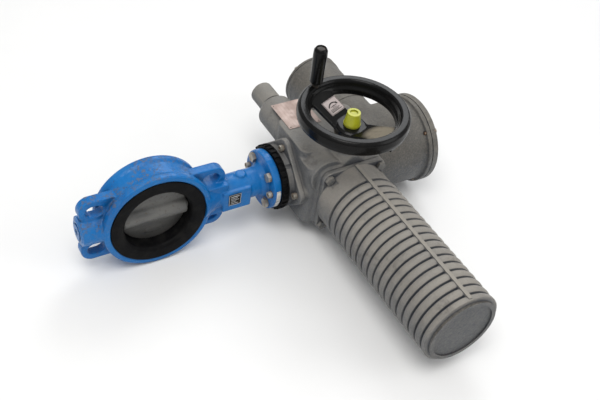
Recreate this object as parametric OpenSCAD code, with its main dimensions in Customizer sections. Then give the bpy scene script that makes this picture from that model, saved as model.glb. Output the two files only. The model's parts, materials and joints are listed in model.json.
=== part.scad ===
// Wafer butterfly valve, nominal size 100, with an electric part-turn actuator.
// Millimetres. Origin at the centre of the pipe bore: +X runs along the stem from the valve
// to the actuator, Y is the pipe axis with the motor on the -Y side, +Z points up to the handwheel.

/* [Valve] */
// Bore of the liner, the clear pipe diameter
bore_d = 100; // [96:1:104]
// Face-to-face length of the liner
face_to_face = 52; // [50:1:54]
// Outer diameter of the valve body ring
body_d = 160; // [156:1:164]
// Outer diameter of the liner's sealing face
liner_face_d = 141; // [138:1:144]
// Distance between ear slots along the stem
slot_dx = 171; // [168:1:176]
// Distance between ear slots across the stem
slot_dz = 70.8; // [68:0.2:74]
// Width of the ear slots
slot_w = 18.5; // [17:0.5:20]
// Length of the ear slots
slot_l = 26; // [24:0.5:28]
// Diameter of the valve stem
stem_d = 16; // [14:1:17]
// Closed-seat gap between disc and liner
disc_gap = 0.4; // [0.3:0.1:0.8]

/* [Valve top flange] */
// Outer diameter of the top flange
flange_d = 90; // [88:1:92]
// Distance from the bore centre to the flange face
flange_x = 183.5; // [181:0.5:186]
// Bolt circle of the top flange
flange_pcd = 70; // [70:1:72]
// Bolt size on the top flange
flange_bolt = 8; // [8:1:9]

/* [Actuator] */
// Distance from the bore centre to the plane of the worm
worm_x = 243; // [242:1:244]
// Height of the worm axis above the stem axis
worm_z = 45; // [45:1:45]
// Distance from the stem axis to the motor mounting face
motor_face_y = 72; // [72:1:73]
// Outer diameter of the motor over its fins
motor_d = 116; // [112:1:118]
// Length of the finned motor housing
motor_l = 276; // [272:1:280]
// Outer diameter of the control compartment
control_d = 132; // [130:1:134]
// Outer diameter of the connection housing
plug_d = 98; // [96:1:98]

/* [Handwheel] */
// Outer diameter of the handwheel
wheel_d = 163; // [160:1:166]
// Height of the top of the rim above the stem axis
wheel_top = 141; // [140:1:146]
// Number of spokes
spoke_count = 2; // [2:1:3]
// Length of the turning grip
grip_l = 58; // [50:1:64]

/* [Gearing] */
// Teeth on the worm wheel, which is also the worm ratio
wheel_teeth = 40; // [40:1:40]
// Module of the worm and its wheel
worm_module = 1.75; // [1.75:0.25:1.75]
// Module of the spur gears
gear_module = 1.5; // [1.5:0.1:1.5]
// Module of the bevel gears
bevel_module = 1.25; // [1.2:0.05:1.25]

/* [Hidden] */
$fn = 64;

// colours
valve_blue = [0.13, 0.45, 0.78];
rubber_black = [0.07, 0.07, 0.07];
casting_grey = [0.44, 0.43, 0.40];
dark_grey = [0.20, 0.20, 0.20];
steel = [0.62, 0.61, 0.58];
zinc = [0.70, 0.69, 0.63];
bronze = [0.66, 0.48, 0.22];
copper = [0.72, 0.40, 0.20];
gloss_black = [0.04, 0.04, 0.04];
plate_pink = [0.80, 0.68, 0.62];
cap_yellow = [0.85, 0.86, 0.12];
paper_white = [0.90, 0.89, 0.86];

// running clearance of shafts in their bushes, on the radius
run_gap = 0.05;

// valve body
bore_r = bore_d / 2;
body_r = body_d / 2;
half_face = face_to_face / 2;
body_half = half_face - 1;
lip_t = 5;
liner_t = 8;
liner_r = bore_r + liner_t;
lip_r = liner_face_d / 2;
disc_r = bore_r - disc_gap;
disc_t = 10;
hub_r = 15;
hub_end = sqrt(pow(disc_r - 0.1, 2) - hub_r * hub_r);
stem_r = stem_d / 2;
bush_r = 10;
boss_r = 22;
boss_end = -107;
stem_end = -93;
neck_r = 22;
neck_root_x = 76;
pad_x0 = 99;
pad_x1 = 144;
pad_half = 21;
pad_y = 23.5;
ear_r = 18.5;
ear_half = 7.5;
flange_t = 12.5;
seal_x = 128;
seal_t = 3.6;

// ring, base flange and gear housing, along the stem
ring_r = 50;
ring_x1 = 193;
base_half = 50;
base_x0 = 203.5;
base_x1 = 211;
base_screw_r = 51.5;
housing_x1 = 337;
housing_y0 = -66;
housing_y1 = 45;
housing_z0 = -52;
top_z = 68;
barrel_r = 28;
barrel_y1 = 97;
cap_r = 18;
cap_y1 = 143;
wall = 6;

// worm drive
worm_r = 10;
lead = PI * worm_module;
wheel_r = worm_module * wheel_teeth / 2;
wheel_w = 9;
sleeve_r = 20;
sleeve_x0 = 195;
sleeve_x1 = 275;

// gear train from the motor to the worm shaft: pinion, idler and worm shaft gear in one line
pinion_teeth = 18;
idler_teeth = 20;
shaft_gear_teeth = 20;
pinion_r = gear_module * pinion_teeth / 2;
idler_r = gear_module * idler_teeth / 2;
shaft_gear_r = gear_module * shaft_gear_teeth / 2;
train_l = pinion_r + 2 * idler_r + shaft_gear_r;
train_dx = sqrt(train_l * train_l - worm_z * worm_z);
train_angle = atan2(worm_z, train_dx);
motor_x = worm_x + train_dx;
idler_from_motor = pinion_r + idler_r;
idler_x = motor_x - idler_from_motor * cos(train_angle);
idler_z = idler_from_motor * sin(train_angle);
train_y0 = -65.5;
train_w = 5;

// bevel gears between the handwheel shaft and the motor shaft
bevel_teeth = 12;
bevel_r = bevel_module * bevel_teeth / 2;
bevel_w = 3;
hand_y = -51;
hand_shaft_r = 7;
bush_z0 = 34;

// motor
motor_r = motor_d / 2;
motor_bore_r = 43;
flange_y1 = -(motor_face_y + 8);
motor_y1 = flange_y1 - motor_l;
motor_end_y = motor_y1 - 4;
groove_pitch = 14.4;
groove_w = 3;
groove_count = 17;
motor_shaft_r = 5;
motor_nose_r = 3.5;
first_groove = 33;
rotor_y0 = -300;
rotor_y1 = -160;
flange_half_x = 53;
flange_half_z = 55;
motor_screw_dx = 43.5;
motor_screw_dz = 44;

// handwheel
wheel_r_out = wheel_d / 2;
rim_w = 21;
rim_h = 23;
hub_top = wheel_top - 29;
hub_h = 16;
hand_boss_top = hub_top - hub_h - 3;
cap_h = 21;
grip_angle = 112;
grip_at = wheel_r_out - 11;
grip_z0 = wheel_top + 6;
spoke_r0 = 8;
spoke_r1 = wheel_r_out - rim_w + 2;
spoke_z0 = hub_top - 5;
spoke_z1 = wheel_top - 11;
spoke_rise = atan2(spoke_z1 - spoke_z0, spoke_r1 - spoke_r0);
spoke_angles = [for (i = [0 : spoke_count - 1]) grip_angle + i * 360 / spoke_count];

// control compartment and connection housing
control_r = control_d / 2;
control_x1 = 438;
cover_x1 = 455;
cover_r = control_r + 5;
plug_r = plug_d / 2;
plug_x = 359;
plug_z = 11;
plug_y0 = 67;
plug_y1 = 172;
plug_end_y = 181;

// ---------- shared shapes ----------
// Places children with their local Z along +X, local X along -Z
module along_x(p = [0, 0, 0]) translate(p) rotate([0, 90, 0]) children();

// Places children with their local Z along +Y, local X along +X
module along_y(p = [0, 0, 0]) translate(p) rotate([-90, 0, 0]) children();

module ring(r_out, r_in, h) difference() {
    cylinder(r = r_out, h = h);
    translate([0, 0, -1]) cylinder(r = r_in, h = h + 2);
}

module slot_bar(x0, x1, r, h) {
    translate([x0, 0, 0]) cylinder(r = r, h = h);
    translate([x1, 0, 0]) cylinder(r = r, h = h);
    translate([x0, -r, 0]) cube([x1 - x0, 2 * r, h]);
}

// Box with its four edges along local Z rounded
module round_box(x0, x1, y0, y1, h, r) {
    translate([x0 + r, y0, 0]) cube([x1 - x0 - 2 * r, y1 - y0, h]);
    translate([x0, y0 + r, 0]) cube([x1 - x0, y1 - y0 - 2 * r, h]);
    for (x = [x0 + r, x1 - r], y = [y0 + r, y1 - r]) translate([x, y, 0]) cylinder(r = r, h = h);
}

// Socket head screw: head above local Z = 0, shank below
module cap_screw(d, shank) {
    difference() {
        cylinder(r = 0.8 * d, h = d);
        translate([0, 0, 0.45 * d]) cylinder(r = 0.45 * d, h = d, $fn = 6);
    }
    translate([0, 0, -shank]) cylinder(r = d / 2, h = shank);
}

// Hexagon head bolt: head above local Z = 0, shank below
module hex_bolt(d, shank) {
    cylinder(r = d * 0.94, h = d * 0.65, $fn = 6);
    translate([0, 0, -shank]) cylinder(r = d / 2, h = shank);
}

// Spur gear outline with one tooth centred on local X, then turned by phase
module gear_outline(teeth, pitch_r, phase, add = 1.0, ded = 1.25, m = 1.5, thick = 0.4) {
    root = pitch_r - ded * m;
    tip = pitch_r + add * m;
    a_pitch = thick * 180 / teeth;
    a_root = 1.45 * a_pitch;
    a_tip = 0.5 * a_pitch;
    points = [for (i = [0 : teeth - 1]) for (k = [[root, -a_root], [pitch_r, -a_pitch],
        [tip, -a_tip], [tip, a_tip], [pitch_r, a_pitch], [root, a_root]])
        k[0] * [cos(phase + i * 360 / teeth + k[1]), sin(phase + i * 360 / teeth + k[1])]];
    polygon(points);
}

// ---------- valve ----------
module ear_places() for (sx = [-1, 1], sz = [-1, 1]) translate([0, 0, sz * slot_dz / 2])
    mirror([sx < 0 ? 1 : 0, 0, 0]) children();

module valve_body() color(valve_blue) difference() {
    union() {
        along_y() rotate_extrude() polygon([[liner_r, -lip_t - 16], [lip_r, -body_half],
            [body_r - 2, -body_half], [body_r, -body_half + 2], [body_r, -16], [body_r - 3, -11],
            [body_r - 3, 11], [body_r, 16], [body_r, body_half - 2], [body_r - 2, body_half],
            [lip_r, body_half], [liner_r, lip_t + 16]]);
        // bottom boss, neck and its label pad
        along_x([boss_end, 0, 0]) cylinder(r = boss_r, h = 50);
        along_x([boss_end - 2, 0, 0]) cylinder(r = boss_r - 4, h = 10);
        along_x([neck_root_x - 8, 0, 0]) cylinder(r = neck_r, h = flange_x - neck_root_x);
        along_x([neck_root_x - 8, 0, 0]) cylinder(r1 = 32, r2 = neck_r, h = 26);
        translate([pad_x0, -pad_y, -pad_half]) cube([pad_x1 - pad_x0, pad_y + 12, pad_half + 14]);
        translate([neck_root_x - 4, -18, -26]) cube([pad_x0 - neck_root_x + 14, 36, 52]);
        translate([136, 0, 12]) cylinder(r = 8, h = 13);
        // top flange with a small fillet cone
        along_x([flange_x - flange_t, 0, 0]) cylinder(r = flange_d / 2, h = flange_t);
        along_x([flange_x - flange_t - 8, 0, 0]) cylinder(r1 = neck_r, r2 = neck_r + 5, h = 8);
        // ears
        ear_places() along_y([0, -ear_half, 0]) slot_bar(56, slot_dx / 2 + slot_l / 2 - slot_w / 2,
            ear_r, 2 * ear_half);
    }
    along_y([0, -40, 0]) cylinder(r = liner_r, h = 80, $fn = 96);
    for (y = [-40, body_half + 1 - lip_t]) along_y([0, y, 0]) cylinder(r = lip_r + 0.1, h = 44 - body_half);
    ear_places() along_y([0, -40, 0]) slot_bar(slot_dx / 2 - (slot_l - slot_w) / 2,
        slot_dx / 2 + (slot_l - slot_w) / 2, slot_w / 2, 80);
    // stem bore, seal retainer groove, plug seat
    along_x([stem_end - 3, 0, 0]) cylinder(r = bush_r, h = 60);
    along_x([50, 0, 0]) cylinder(r = bush_r, h = 200);
    along_x([167, 0, 0]) cylinder(r = bush_r + 1.2, h = 1.6);
    along_x([boss_end - 4, 0, 0]) cylinder(r = 12, h = 4 + stem_end - boss_end);
    for (a = [45, 90, 135, 225, 270, 315]) rotate([a, 0, 0]) along_x([150, 0, flange_pcd / 2])
        cylinder(r = (flange_bolt + 0.6) / 2, h = 60);
}

module liner() color(rubber_black) difference() {
    along_y() rotate_extrude($fn = 96) polygon([[bore_r, -half_face + 5], [bore_r + 2, -half_face + 2],
        [bore_r + 6, -half_face], [lip_r, -half_face], [lip_r, -half_face + lip_t],
        [liner_r, -half_face + lip_t], [liner_r, half_face - lip_t], [lip_r, half_face - lip_t],
        [lip_r, half_face], [bore_r + 6, half_face], [bore_r + 2, half_face - 2],
        [bore_r, half_face - 5]]);
    along_x([-80, 0, 0]) cylinder(r = stem_r + run_gap, h = 160);
}

module disc() color(steel) difference() {
    union() {
        along_y() rotate_extrude() polygon([[0, -disc_t / 2], [disc_r - 0.6, -disc_t / 2],
            [disc_r, -1.5], [disc_r, 1.5], [disc_r - 0.6, disc_t / 2], [0, disc_t / 2]]);
        along_x([-hub_end, 0, 0]) cylinder(r = hub_r, h = 2 * hub_end);
        // generic raised mark on the visible face
        along_y([0, -disc_t / 2 - 1, -32]) slot_bar(-9, 9, 4, 2);
    }
    along_x([-60, 0, 0]) cylinder(r = stem_r, h = 120);
    for (x = [-24, 24]) along_y([x, -10, 0]) cylinder(r = 3, h = 40);
}

module stem() color(steel) difference() {
    union() {
        along_x([stem_end, 0, 0]) cylinder(r = stem_r, h = 188 - stem_end);
        translate([186, -5.5, -5.5]) cube([34, 11, 11]);
    }
    for (x = [-24, 24]) along_y([x, -10, 0]) cylinder(r = 3, h = 40);
}

module disc_pins() color(zinc) for (x = [-24, 24]) along_y([x, -10, 0])
    cylinder(r = 3, h = 8.5 + hub_r);

module upper_bush() color(bronze) {
    along_x([140, 0, 0]) ring(bush_r, stem_r + run_gap, 26.8);
    along_x([62, 0, 0]) ring(bush_r, stem_r + run_gap, 24);
}

module lower_bush() color(bronze) along_x([stem_end + 3, 0, 0]) ring(bush_r, stem_r + run_gap, 28);

module stem_seals() color(rubber_black) for (i = [0 : 2])
    along_x([seal_x + i * (seal_t + 0.2), 0, 0]) ring(bush_r, stem_r + run_gap, seal_t);

module seal_retainer() color(zinc) along_x([167.1, 0, 0]) difference() {
    ring(bush_r + 1.1, stem_r + 0.5, 1.4);
    translate([-20, -2, -1]) cube([20, 4, 4]);
}

module bottom_plug() color(valve_blue) difference() {
    along_x([boss_end - 3, 0, 0]) cylinder(r = 11.95, h = 3 + stem_end - 3.2 - boss_end);
    along_x([boss_end - 4, 0, 0]) cylinder(r = 5, h = 6, $fn = 6);
}

module body_nameplate() color(dark_grey) difference() {
    translate([107.5, -pad_y - 0.8, -10.5]) cube([19.5, 0.8, 20]);
    for (x = [109, 125.5]) along_y([x, -pad_y - 2, -0.5]) cylinder(r = 0.7, h = 4);
}

module flange_tag() color(paper_white) rotate([99, 0, 0]) intersection() {
    along_x([flange_x - 9, 0, 0]) ring(flange_d / 2 + 0.35, flange_d / 2, 6.5);
    translate([160, -17, 30]) cube([30, 34, 30]);
}

module flange_bolts() color(zinc) for (a = [45 : 90 : 315]) rotate([a, 0, 0])
    along_x([flange_x - flange_t, 0, flange_pcd / 2]) rotate([180, 0, 0]) hex_bolt(flange_bolt, 36);

module flange_screws() color(zinc) for (a = [90, 270]) rotate([a, 0, 0])
    along_x([flange_x - flange_t, 0, flange_pcd / 2]) rotate([180, 0, 0]) cap_screw(6, 32);

module flange_fixing_holes(x0, h) for (a = [45, 90, 135, 225, 270, 315]) rotate([a, 0, 0])
    along_x([x0, 0, flange_pcd / 2]) cylinder(r = (a % 90 == 0 ? 6.1 : flange_bolt + 0.1) / 2, h = h);

// ---------- actuator base ----------
module coupling_ring() color(gloss_black) difference() {
    union() {
        along_x([flange_x, 0, 0]) cylinder(r = ring_r - 2, h = ring_x1 - flange_x);
        for (a = [0 : 12 : 348]) rotate([a, 0, 0])
            translate([flange_x, -2, ring_r - 4]) cube([ring_x1 - flange_x, 4, 4]);
        along_x([ring_x1 - 1.5, 0, 0]) cylinder(r = ring_r, h = 1.5);
    }
    along_x([flange_x - 1, 0, 0]) cylinder(r = 24, h = 20);
    flange_fixing_holes(flange_x - 1, 20);
}

// Square plate standing on one corner, with a screw at each corner
module base_plate(x, half, h) along_x([x, 0, 0]) rotate([0, 0, 45])
    round_box(-half, half, -half, half, h, 14);

module base_flange() color(casting_grey) difference() {
    union() {
        along_x([ring_x1, 0, 0]) cylinder(r = ring_r - 5, h = 12);
        base_plate(base_x0, base_half, base_x1 - base_x0);
    }
    along_x([180, 0, 0]) cylinder(r = 24, h = 40);
    flange_fixing_holes(ring_x1 - 1, 17.5);
    for (a = [0 : 90 : 270]) rotate([a, 0, 0]) along_x([180, 0, base_screw_r]) cylinder(r = 3.05, h = 40);
    along_x([195, -26, 37.4]) cylinder(r = 3, h = 15);
}

module base_screws() color(zinc) for (a = [0 : 90 : 270]) rotate([a, 0, 0])
    along_x([base_x0, 0, base_screw_r]) rotate([180, 0, 0]) cap_screw(6, 20);

// ---------- gear housing ----------
module gear_housing_outside() {
    translate([0, 0, housing_z0]) round_box(214, housing_x1, housing_y0, housing_y1, 106, 16);
    translate([0, 0, 20]) round_box(214, housing_x1, -40, housing_y1, top_z - 20, 14);
    base_plate(base_x1, base_half - 2, 12);
    along_x([base_x1 + 11, 0, 0]) cylinder(r1 = 56, r2 = 50, h = 21);
    // barrel of the worm shaft with its flat top
    intersection() {
        along_y([worm_x, 4 - motor_face_y, worm_z - 6])
            cylinder(r = barrel_r, h = barrel_y1 + motor_face_y - 4);
        translate([190, -70, -20]) cube([100, 180, top_z + 20]);
    }
    along_y([worm_x, barrel_y1, worm_z - 6]) cylinder(r1 = 26, r2 = 21, h = 8);
    // motor pad
    along_y([motor_x, -motor_face_y, 0])
        round_box(-flange_half_x, flange_half_x, -flange_half_z, flange_half_z, 14, 14);
    // handwheel boss on its flared foot
    translate([motor_x, hand_y, 30]) cylinder(r = 20, h = hand_boss_top - 30);
    difference() {
        translate([motor_x, hand_y, 46]) cylinder(r1 = 32, r2 = 20, h = 24);
        translate([motor_x - 50, -motor_face_y - 30, 30]) cube([100, 30, 45]);
    }
}

module gear_housing() color(casting_grey) difference() {
    gear_housing_outside();
    // drive sleeve and worm wheel chamber
    along_x([200, 0, 0]) cylinder(r = 26, h = 28);
    along_x([226, 0, 0]) cylinder(r = wheel_r + 5, h = 34);
    along_x([250, 0, 0]) cylinder(r = 26, h = 26);
    along_x([270, 0, 0]) cylinder(r = 8, h = 80);
    // worm, its bearings and the end stop barrel
    along_y([worm_x, -50, worm_z]) cylinder(r = 13.5, h = 97);
    along_y([worm_x, -54, worm_z]) cylinder(r = 13, h = 5);
    along_y([worm_x, -66, worm_z]) cylinder(r = 8, h = 20);
    along_y([worm_x, 46, worm_z]) cylinder(r = 13, h = 80);
    // gear train chamber behind the motor face
    for (g = [[motor_x, 0, pinion_r], [idler_x, idler_z, idler_r], [worm_x, worm_z, shaft_gear_r]])
        along_y([g[0], train_y0 - 1, g[1]]) cylinder(r = g[2] + 3.5, h = train_w + 2);
    along_y([idler_x, -70, idler_z]) cylinder(r = 4, h = 18);
    along_y([motor_x, -90, 0]) cylinder(r = 8, h = 26);
    // bevel gear chamber, motor shaft nose bearing and handwheel shaft
    along_y([motor_x, -62, 0]) cylinder(r = 12, h = 26);
    along_y([motor_x, -37, 0]) cylinder(r = 9.5, h = 5.2);
    translate([motor_x, hand_y, 0]) cylinder(r = 10.5, h = bush_z0 + 1);
    translate([motor_x, hand_y, bush_z0]) cylinder(r = 11, h = 80);
    for (x = [-1, 1], z = [-1, 1]) along_y([motor_x + x * motor_screw_dx, -90, z * motor_screw_dz])
        cylinder(r = 4.05, h = 23.5);
    for (a = [0 : 90 : 270]) rotate([a, 0, 0]) along_x([195, 0, base_screw_r])
        cylinder(r = 3.05, h = 30);
}

module housing_nameplate() color(plate_pink) difference() {
    translate([222, 16, top_z]) cube([54, 60, 0.8]);
    for (x = [225, 273], y = [19, 73]) translate([x, y, top_z - 1]) cylinder(r = 1.2, h = 4);
}

// ---------- worm drive ----------
module drive_sleeve() color(steel) difference() {
    union() {
        along_x([sleeve_x0, 0, 0]) cylinder(r = sleeve_r, h = sleeve_x1 - sleeve_x0);
        along_x([worm_x + wheel_w / 2 + 0.1, 0, 0]) cylinder(r = sleeve_r + 3, h = 2);
    }
    translate([sleeve_x0 - 1, -5.6, -5.6]) cube([30, 11.2, 11.2]);
    along_x([sleeve_x1 - 30, 0, 0]) cylinder(r = 5, h = 40);
}

module sleeve_bearings() color(bronze) for (b = [[base_x1 + 0.2, 16.5], [255, 18.5]])
    along_x([b[0], 0, 0]) ring(26, sleeve_r + run_gap, b[1]);

module worm_wheel() color(bronze) difference() {
    along_x([worm_x - wheel_w / 2, 0, 0]) linear_extrude(height = wheel_w) difference() {
        gear_outline(wheel_teeth, wheel_r, 180, 0.9, 1.2, worm_module, 0.38);
        circle(r = sleeve_r);
    }
    for (a = [0 : 60 : 300]) rotate([a, 0, 0]) along_x([200, 0, 27]) cylinder(r = 3, h = 80);
}

module worm_shaft() color(steel) {
    along_y([worm_x, train_y0, worm_z]) cylinder(r = 5, h = 60 - train_y0);
    along_y([worm_x, 60, worm_z]) cylinder(r = 6, h = 74);
    for (i = [0 : 30]) along_y([worm_x, 66 + 2 * i, worm_z]) cylinder(r1 = 6, r2 = 6.6, h = 1);
}

// Thread of the worm as one swept tooth; its flank sits half a lead from the wheel tooth
turns = 5;
steps = 32;
thread = [[7.4, -1.5], [worm_r, -1.05], [11.5, -0.55], [11.5, 0.55], [worm_r, 1.05], [7.4, 1.5]];
thread_points = [for (i = [-turns * steps / 2 : turns * steps / 2]) for (p = thread)
    [p[0] * cos(90 + i * 360 / steps), p[0] * sin(90 + i * 360 / steps),
        p[1] + lead * (i / steps + 0.5)]];
section = len(thread);
rings = turns * steps;
thread_sides = [for (i = [0 : rings - 1]) for (k = [0 : section - 1]) let(a = i * section + k,
    b = i * section + (k + 1) % section) each [[a, b, b + section], [a, b + section, a + section]]];
thread_ends = [[for (k = [section - 1 : -1 : 0]) k],
    [for (k = [0 : section - 1]) rings * section + k]];

module worm() color(steel) along_y([worm_x, 0, worm_z]) difference() {
    union() {
        translate([0, 0, -17]) cylinder(r = 8, h = 37);
        polyhedron(points = thread_points, faces = concat(thread_sides, thread_ends), convexity = 8);
    }
    translate([0, 0, -30]) cylinder(r = 5, h = 70);
}

module worm_bearings() color(steel) for (y = [-54, 47])
    along_y([worm_x, y, worm_z]) ring(13, 5 + run_gap, 7);

module worm_shaft_gear() color(steel) along_y([worm_x, train_y0, worm_z])
    linear_extrude(height = train_w) difference() {
        gear_outline(shaft_gear_teeth, shaft_gear_r, train_angle);
        circle(r = 5);
    }

module idler_gear() color(steel) along_y([idler_x, train_y0, idler_z])
    linear_extrude(height = train_w) difference() {
        gear_outline(idler_teeth, idler_r, train_angle + 180 / idler_teeth);
        circle(r = 4 + run_gap);
    }

module idler_axle() color(steel) along_y([idler_x, -70, idler_z]) cylinder(r = 4, h = 17.5);

module end_stop_cap() color(casting_grey) difference() {
    union() {
        along_y([worm_x, barrel_y1 + 8, worm_z - 2]) cylinder(r = cap_r, h = cap_y1 - barrel_y1 - 10);
        along_y([worm_x, cap_y1 - 2, worm_z - 2]) cylinder(r1 = cap_r, r2 = cap_r - 2, h = 2);
    }
    along_y([worm_x, 90, worm_z]) cylinder(r = 13, h = 46);
}

module end_stop_nut() color(bronze) difference() {
    along_y([worm_x, 88, worm_z]) cylinder(r = 12.5, h = 14);
    along_y([worm_x, 80, worm_z]) cylinder(r = 6.7, h = 40);
}

// ---------- motor ----------
module motor_flange() color(casting_grey) difference() {
    union() {
        along_y([motor_x, flange_y1, 0]) round_box(-flange_half_x, flange_half_x, -flange_half_z,
            flange_half_z, -motor_face_y - flange_y1, 14);
        along_y([motor_x, flange_y1 - 6, 0]) cylinder(r = motor_bore_r - 0.1, h = 8);
    }
    along_y([motor_x, flange_y1 - 7, 0]) cylinder(r = 13, h = 11);
    along_y([motor_x, flange_y1 - 7, 0]) cylinder(r = 7, h = 30);
    for (x = [-1, 1], z = [-1, 1]) along_y([motor_x + x * motor_screw_dx, -100, z * motor_screw_dz])
        cylinder(r = 4.3, h = 50);
}

// Half profile of the finned shell: [radius, distance from the motor flange]
fin_profile = concat([[motor_bore_r, 0], [motor_r - 1, 0], [motor_r - 1, first_groove - 0.5]],
    [for (i = [0 : groove_count - 1]) let(s = first_groove + i * groove_pitch, e = s + groove_w)
        for (p = [[motor_r - 7, s + 0.3], [motor_r - 7, e - 0.3], [motor_r - 1.8, e + 0.3],
            [motor_r - 0.3, e + 3], [motor_r, e + 5.7], [motor_r - 0.3, e + 8.4],
            [motor_r - 1.8, e + 11.1]]) if (p[1] < motor_l - 1) p],
    [[motor_r - 3, motor_l], [motor_bore_r, motor_l]]);

module motor_housing() color(casting_grey) {
    difference() {
        union() {
            along_y([motor_x, flange_y1, 0]) mirror([0, 0, 1]) rotate_extrude() polygon(fin_profile);
            for (a = [0, 180]) translate([motor_x, 0, 0]) rotate([0, a, 0])
                translate([-2.8, motor_y1 + 3, motor_r - 8]) cube([5.6, motor_l - 3, 9.2]);
        }
        for (x = [-1, 1], z = [-1, 1])
            along_y([motor_x + x * motor_screw_dx, flange_y1 - 12, z * motor_screw_dz])
                cylinder(r = 8.2, h = 14);
    }
}

module motor_end_cap() color(dark_grey) difference() {
    union() {
        along_y([motor_x, motor_end_y, 0]) cylinder(r = motor_r - 6, h = motor_y1 - motor_end_y);
        along_y([motor_x, motor_y1 - 1, 0]) cylinder(r = motor_bore_r - 0.1, h = 17);
    }
    along_y([motor_x, motor_end_y - 1, 0]) cylinder(r = motor_r - 12, h = 3);
    along_y([motor_x, motor_y1 + 6, 0]) cylinder(r = 13, h = 20);
}

module motor_screws() color(zinc) {
    for (x = [-1, 1], z = [-1, 1]) along_y([motor_x + x * motor_screw_dx, flange_y1, z * motor_screw_dz])
        rotate([180, 0, 0]) hex_bolt(8, 13);
}

module stator_core() color(dark_grey) along_y([motor_x, rotor_y0, 0])
    ring(motor_bore_r, 30, rotor_y1 - rotor_y0);

module stator_windings() color(copper) for (y = [rotor_y0 - 18, rotor_y1 + 2])
    along_y([motor_x, y, 0]) ring(motor_bore_r - 3, 31, 16);

module rotor() color(steel) along_y([motor_x, rotor_y0, 0]) ring(29.4, 9, rotor_y1 - rotor_y0);

module motor_shaft() color(steel) {
    along_y([motor_x, rotor_y0 - 12, 0]) cylinder(r = 9, h = rotor_y1 - rotor_y0 + 24);
    along_y([motor_x, motor_y1 + 6.5, 0]) cylinder(r = motor_shaft_r, h = -66.5 - motor_y1);
    along_y([motor_x, -61, 0]) cylinder(r = motor_nose_r, h = 29);
}

module motor_bearings() color(steel) {
    along_y([motor_x, flange_y1 - 6, 0]) ring(13, motor_shaft_r + run_gap, 9.5);
    along_y([motor_x, motor_y1 + 6, 0]) ring(13, motor_shaft_r + run_gap, 9);
    along_y([motor_x, -36.9, 0]) ring(9.5, motor_nose_r + run_gap, 5);
}

module motor_pinion() color(steel) along_y([motor_x, train_y0, 0])
    linear_extrude(height = train_w) difference() {
        gear_outline(pinion_teeth, pinion_r, train_angle + 180);
        circle(r = motor_shaft_r);
    }

// Bevel gear with its apex at the local origin and its big end towards +Z
module bevel_gear(phase, bore) difference() {
    union() {
        mirror([0, 0, 1]) translate([0, 0, -bevel_r]) linear_extrude(height = bevel_w,
            scale = (bevel_r - bevel_w) / bevel_r)
            gear_outline(bevel_teeth, bevel_r, phase, 0.75, 0.95, bevel_module, 0.34);
        translate([0, 0, bevel_r]) cylinder(r = 6.2, h = 5);
    }
    cylinder(r = bore, h = 60);
}

module shaft_bevel_gear() color(steel) along_y([motor_x, hand_y, 0])
    bevel_gear(270 + 180 / bevel_teeth, motor_nose_r);

module hand_bevel_gear() color(steel) translate([motor_x, hand_y, 0])
    bevel_gear(90, 3.5);

// ---------- handwheel ----------
module handwheel_shaft() color(steel) translate([motor_x, hand_y, 0]) {
    translate([0, 0, bevel_r - bevel_w + 0.4]) cylinder(r = 3.5, h = 10);
    translate([0, 0, bevel_r + 5.2]) cylinder(r = hand_shaft_r, h = hub_top - hub_h - bevel_r - 5.3);
    translate([0, 0, hub_top - hub_h - 1]) cylinder(r = 5.5, h = hub_h + 7);
}

module handwheel_bush() color(bronze) translate([motor_x, hand_y, bush_z0])
    ring(11, hand_shaft_r + run_gap, hand_boss_top + 0.5 - bush_z0);

module spoke(a) rotate([0, 0, a]) hull() {
    translate([spoke_r0, -20.5, spoke_z0 - 5.5]) cube([1, 40, 5.5]);
    translate([spoke_r1, -21.5, spoke_z1 - 5.5]) cube([1, 44, 5.5]);
}

module handwheel() color(gloss_black) translate([motor_x, hand_y, 0]) difference() {
    union() {
        // rim: a ridge outside, falling to a thin lip inside
        rotate_extrude() translate([wheel_r_out - rim_w, wheel_top - rim_h]) polygon([[1, 0],
            [rim_w - 5, 0], [rim_w - 1, 4], [rim_w, 10], [rim_w - 1, rim_h - 4],
            [rim_w - 4.5, rim_h], [rim_w - 13.5, rim_h], [rim_w - 16, rim_h - 3], [3, 13], [0, 9], [0, 2]]);
        for (a = spoke_angles) {
            spoke(a);
            rotate([0, 0, a]) translate([spoke_r1 - 1, -14, wheel_top - rim_h - 4]) cube([15, 28, 12]);
        }
        translate([0, 0, hub_top - hub_h]) cylinder(r = 24, h = hub_h - 3);
        translate([0, 0, hub_top - 3]) cylinder(r1 = 24, r2 = 20, h = 3);
    }
    translate([0, 0, 60]) cylinder(r = 5.5, h = 90);
    rotate([0, 0, grip_angle]) translate([grip_at, 0, 100]) cylinder(r = 4, h = 80);
}

module hub_cap() color(cap_yellow) translate([motor_x, hand_y, 0]) difference() {
    union() {
        translate([0, 0, hub_top]) cylinder(r = 12.5, h = 3);
        translate([0, 0, hub_top + 3]) cylinder(r1 = 12, r2 = 9.6, h = cap_h - 3);
    }
    translate([0, 0, hub_top - 1]) cylinder(r = 8, h = 14);
    translate([0, 0, hub_top + cap_h - 2]) cylinder(r = 6, h = 5);
}

module direction_label() color(paper_white) translate([motor_x, hand_y, 0])
    rotate([0, 0, spoke_angles[0]]) translate([spoke_r0, 0, spoke_z0]) rotate([0, -spoke_rise, 0])
        difference() {
            translate([21, -20, 0]) cube([24, 30, 0.6]);
            translate([33, -5, -1]) cylinder(r = 1, h = 4);
        }

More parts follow.
